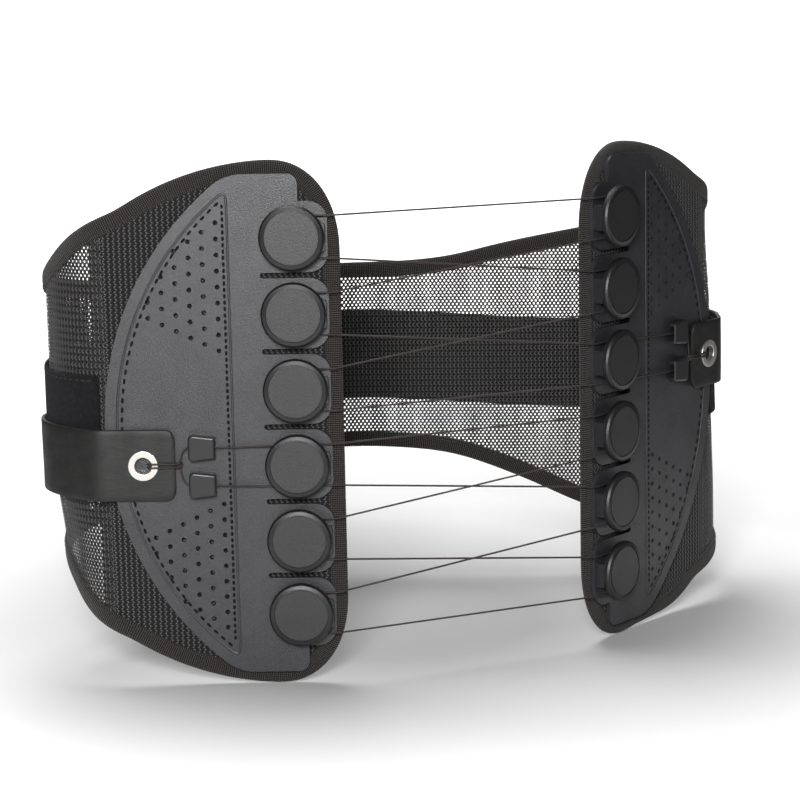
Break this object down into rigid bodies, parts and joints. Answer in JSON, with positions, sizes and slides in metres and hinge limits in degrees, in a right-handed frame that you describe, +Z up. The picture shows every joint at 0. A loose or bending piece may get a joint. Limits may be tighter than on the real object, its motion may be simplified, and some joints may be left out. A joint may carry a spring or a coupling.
{
  "type": "laced back brace",
  "caption": "Lumbar brace standing as a closed loop: vented back panels with pulleys joined by lacing, a mesh belt round the front, and pull tabs on both sides.",
  "frame": {"origin": "bottom centre of the bounding box", "axes": "+X along the row from the left panel to the right one, +Y towards the front closure, +Z up; the panels and lacing face -Y"},
  "size_m": [0.3712, 0.2096, 0.252],
  "materials": {
    "panel_plastic": "fine grained",
    "pulley_plastic": "satin",
    "lining_mesh": "spacer mesh",
    "belt_mesh": "open mesh",
    "edge_binding": "ribbed binding",
    "loop_band": "brushed loop",
    "flap_hook": "woven",
    "tab_rubber": "smooth",
    "eyelet_nickel": "polished",
    "cord": "braided",
    "bell_plastic": "moulded"
  },
  "bodies": {
    "left_half": {"left_back_panel": "panel_plastic", "left_back_lining": "lining_mesh", "left_back_binding": "edge_binding", "left_side_wing": "belt_mesh", "left_wing_binding": "edge_binding", "left_loop_band": "loop_band", "left_pulley_caps": "pulley_plastic", "left_cord_guards": "pulley_plastic", "upper_lacing": "cord", "lower_lacing": "cord", "lower_lead_strands": "cord"},
    "right_half": {"right_back_panel": "panel_plastic", "right_back_lining": "lining_mesh", "right_back_binding": "edge_binding", "right_side_wing": "belt_mesh", "right_wing_binding": "edge_binding", "right_loop_band": "loop_band", "right_pulley_caps": "pulley_plastic", "right_cord_guards": "pulley_plastic", "upper_lead_strands": "cord"},
    "closure_flap": {"closure_flap": "flap_hook"},
    "left_pull": {"left_pull_tab": "tab_rubber", "left_tab_eyelet": "eyelet_nickel", "left_tab_knot": "cord", "left_tab_cord": "cord", "left_upper_bell": "bell_plastic", "left_lower_bell": "bell_plastic"},
    "right_pull": {"right_pull_tab": "tab_rubber", "right_tab_eyelet": "eyelet_nickel", "right_tab_knot": "cord", "right_tab_cord": "cord", "right_upper_bell": "bell_plastic", "right_lower_bell": "bell_plastic"},
    "left_sheave_1": {"left_sheave_1": "pulley_plastic"},
    "left_sheave_2": {"left_sheave_2": "pulley_plastic"},
    "left_sheave_3": {"left_sheave_3": "pulley_plastic"},
    "left_sheave_4": {"left_sheave_4": "pulley_plastic"},
    "left_sheave_5": {"left_sheave_5": "pulley_plastic"},
    "left_sheave_6": {"left_sheave_6": "pulley_plastic"},
    "right_sheave_1": {"right_sheave_1": "pulley_plastic"},
    "right_sheave_2": {"right_sheave_2": "pulley_plastic"},
    "right_sheave_3": {"right_sheave_3": "pulley_plastic"},
    "right_sheave_4": {"right_sheave_4": "pulley_plastic"},
    "right_sheave_5": {"right_sheave_5": "pulley_plastic"},
    "right_sheave_6": {"right_sheave_6": "pulley_plastic"}
  },
  "joints": [
    {"name": "lacing_draw", "type": "hinge", "parent": "left_half", "child": "right_half", "pos_m": [0, 0.0999, 0.126], "axis": [0, 0, -1], "range_deg": [0, 7.5], "deforming": ["upper_lacing", "lower_lacing"]},
    {"name": "closure_peel", "type": "hinge", "parent": "left_half", "child": "closure_flap", "pos_m": [-0.03916, 0.09331, 0.126], "axis": [0, 0, 1], "range_deg": [0, 110]},
    {"name": "left_tab_pull", "type": "slide", "parent": "left_half", "child": "left_pull", "axis": [-0.8988, 0.4384, 0], "range_m": [0, 0.08], "deforming": ["lower_lead_strands"]},
    {"name": "right_tab_pull", "type": "slide", "parent": "right_half", "child": "right_pull", "axis": [0.8988, 0.4384, 0], "range_m": [0, 0.08], "deforming": ["upper_lead_strands"]},
    {"name": "left_sheave_1_spin", "type": "hinge", "parent": "left_half", "child": "left_sheave_1", "pos_m": [-0.0864, -0.09414, 0.216], "axis": [-0.4384, -0.8988, 0], "continuous": true},
    {"name": "left_sheave_2_spin", "type": "hinge", "parent": "left_half", "child": "left_sheave_2", "pos_m": [-0.0864, -0.09414, 0.18], "axis": [-0.4384, -0.8988, 0], "continuous": true},
    {"name": "left_sheave_3_spin", "type": "hinge", "parent": "left_half", "child": "left_sheave_3", "pos_m": [-0.0864, -0.09414, 0.144], "axis": [-0.4384, -0.8988, 0], "continuous": true},
    {"name": "left_sheave_4_spin", "type": "hinge", "parent": "left_half", "child": "left_sheave_4", "pos_m": [-0.0864, -0.09414, 0.108], "axis": [-0.4384, -0.8988, 0], "continuous": true},
    {"name": "left_sheave_5_spin", "type": "hinge", "parent": "left_half", "child": "left_sheave_5", "pos_m": [-0.0864, -0.09414, 0.072], "axis": [-0.4384, -0.8988, 0], "continuous": true},
    {"name": "left_sheave_6_spin", "type": "hinge", "parent": "left_half", "child": "left_sheave_6", "pos_m": [-0.0864, -0.09414, 0.036], "axis": [-0.4384, -0.8988, 0], "continuous": true},
    {"name": "right_sheave_1_spin", "type": "hinge", "parent": "right_half", "child": "right_sheave_1", "pos_m": [0.0864, -0.09414, 0.216], "axis": [0.4384, -0.8988, 0], "continuous": true},
    {"name": "right_sheave_2_spin", "type": "hinge", "parent": "right_half", "child": "right_sheave_2", "pos_m": [0.0864, -0.09414, 0.18], "axis": [0.4384, -0.8988, 0], "continuous": true},
    {"name": "right_sheave_3_spin", "type": "hinge", "parent": "right_half", "child": "right_sheave_3", "pos_m": [0.0864, -0.09414, 0.144], "axis": [0.4384, -0.8988, 0], "continuous": true},
    {"name": "right_sheave_4_spin", "type": "hinge", "parent": "right_half", "child": "right_sheave_4", "pos_m": [0.0864, -0.09414, 0.108], "axis": [0.4384, -0.8988, 0], "continuous": true},
    {"name": "right_sheave_5_spin", "type": "hinge", "parent": "right_half", "child": "right_sheave_5", "pos_m": [0.0864, -0.09414, 0.072], "axis": [0.4384, -0.8988, 0], "continuous": true},
    {"name": "right_sheave_6_spin", "type": "hinge", "parent": "right_half", "child": "right_sheave_6", "pos_m": [0.0864, -0.09414, 0.036], "axis": [0.4384, -0.8988, 0], "continuous": true}
  ],
  "couplings": [
    {"joint": "left_tab_pull", "follows": "lacing_draw", "m_per_rad": 0.6051},
    {"joint": "right_tab_pull", "follows": "lacing_draw", "m_per_rad": 0.6051},
    {"joint": "right_sheave_1_spin", "follows": "lacing_draw", "ratio": -20.171},
    {"joint": "right_sheave_2_spin", "follows": "lacing_draw", "ratio": -20.171},
    {"joint": "left_sheave_2_spin", "follows": "lacing_draw", "ratio": 40.342},
    {"joint": "left_sheave_3_spin", "follows": "lacing_draw", "ratio": 40.342},
    {"joint": "left_sheave_5_spin", "follows": "lacing_draw", "ratio": -20.171},
    {"joint": "left_sheave_6_spin", "follows": "lacing_draw", "ratio": -20.171},
    {"joint": "right_sheave_4_spin", "follows": "lacing_draw", "ratio": 40.342},
    {"joint": "right_sheave_5_spin", "follows": "lacing_draw", "ratio": 40.342}
  ]
}
